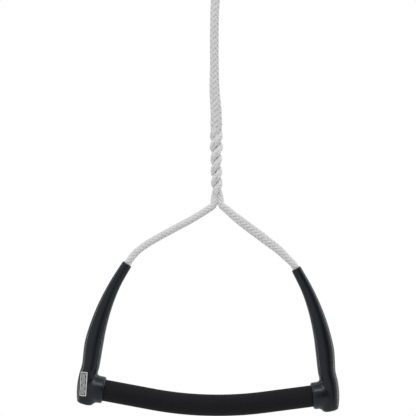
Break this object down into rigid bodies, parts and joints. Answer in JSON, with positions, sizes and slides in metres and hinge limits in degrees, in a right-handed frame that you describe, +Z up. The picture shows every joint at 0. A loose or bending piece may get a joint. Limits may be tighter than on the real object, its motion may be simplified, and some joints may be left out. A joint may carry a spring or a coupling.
{
  "type": "tow rope handle",
  "caption": "Water sports tow handle: rubber-gripped radius bar between moulded arm guards, on a braided rope bridle with a lock splice and an eye loop.",
  "frame": {"origin": "where a tow line bears inside the top of the eye loop; the handle hangs below it", "axes": "+Z up along the rope, +X along the bar towards the right arm, Y through the handle's thickness with the front at -Y"},
  "size_m": [0.3302, 0.0336, 0.6717],
  "materials": {
    "rope": "braided polypropylene rope, off-white, slightly fuzzy",
    "arm_rubber": "smooth moulded rubber, satin, blue-black",
    "badge": "satin plastic inlay with a plain framed wave pattern",
    "tube": "drawn tube",
    "grip_rubber": "finely textured matte rubber",
    "nylon": "natural nylon"
  },
  "bodies": {
    "tow_line": {"eye_loop": "rope", "tow_rope": "rope"},
    "splice": {"lock_splice": "rope"},
    "bridle": {"left_leg": "rope", "right_leg": "rope"},
    "handle": {"left_arm": "arm_rubber", "right_arm": "arm_rubber", "left_badge": "badge", "right_badge": "badge", "bar_tube": "tube", "grip_sleeve": "grip_rubber", "left_bush": "nylon", "right_bush": "nylon", "left_arm_rope": "rope", "bar_rope": "rope", "right_arm_rope": "rope"}
  },
  "joints": [
    {"name": "rope_swing", "type": "hinge", "parent": "tow_line", "child": "splice", "pos_m": [0.001, 0, -0.297], "axis": [1, 0, 0], "range_deg": [-60, 60]},
    {"name": "bridle_tilt", "type": "hinge", "parent": "splice", "child": "bridle", "pos_m": [0.005, 0, -0.3925], "axis": [0, 1, 0], "range_deg": [-40, 40]},
    {"name": "handle_swing", "type": "hinge", "parent": "bridle", "child": "handle", "pos_m": [0, 0, -0.467], "axis": [1, 0, 0], "range_deg": [-90, 90]}
  ]
}
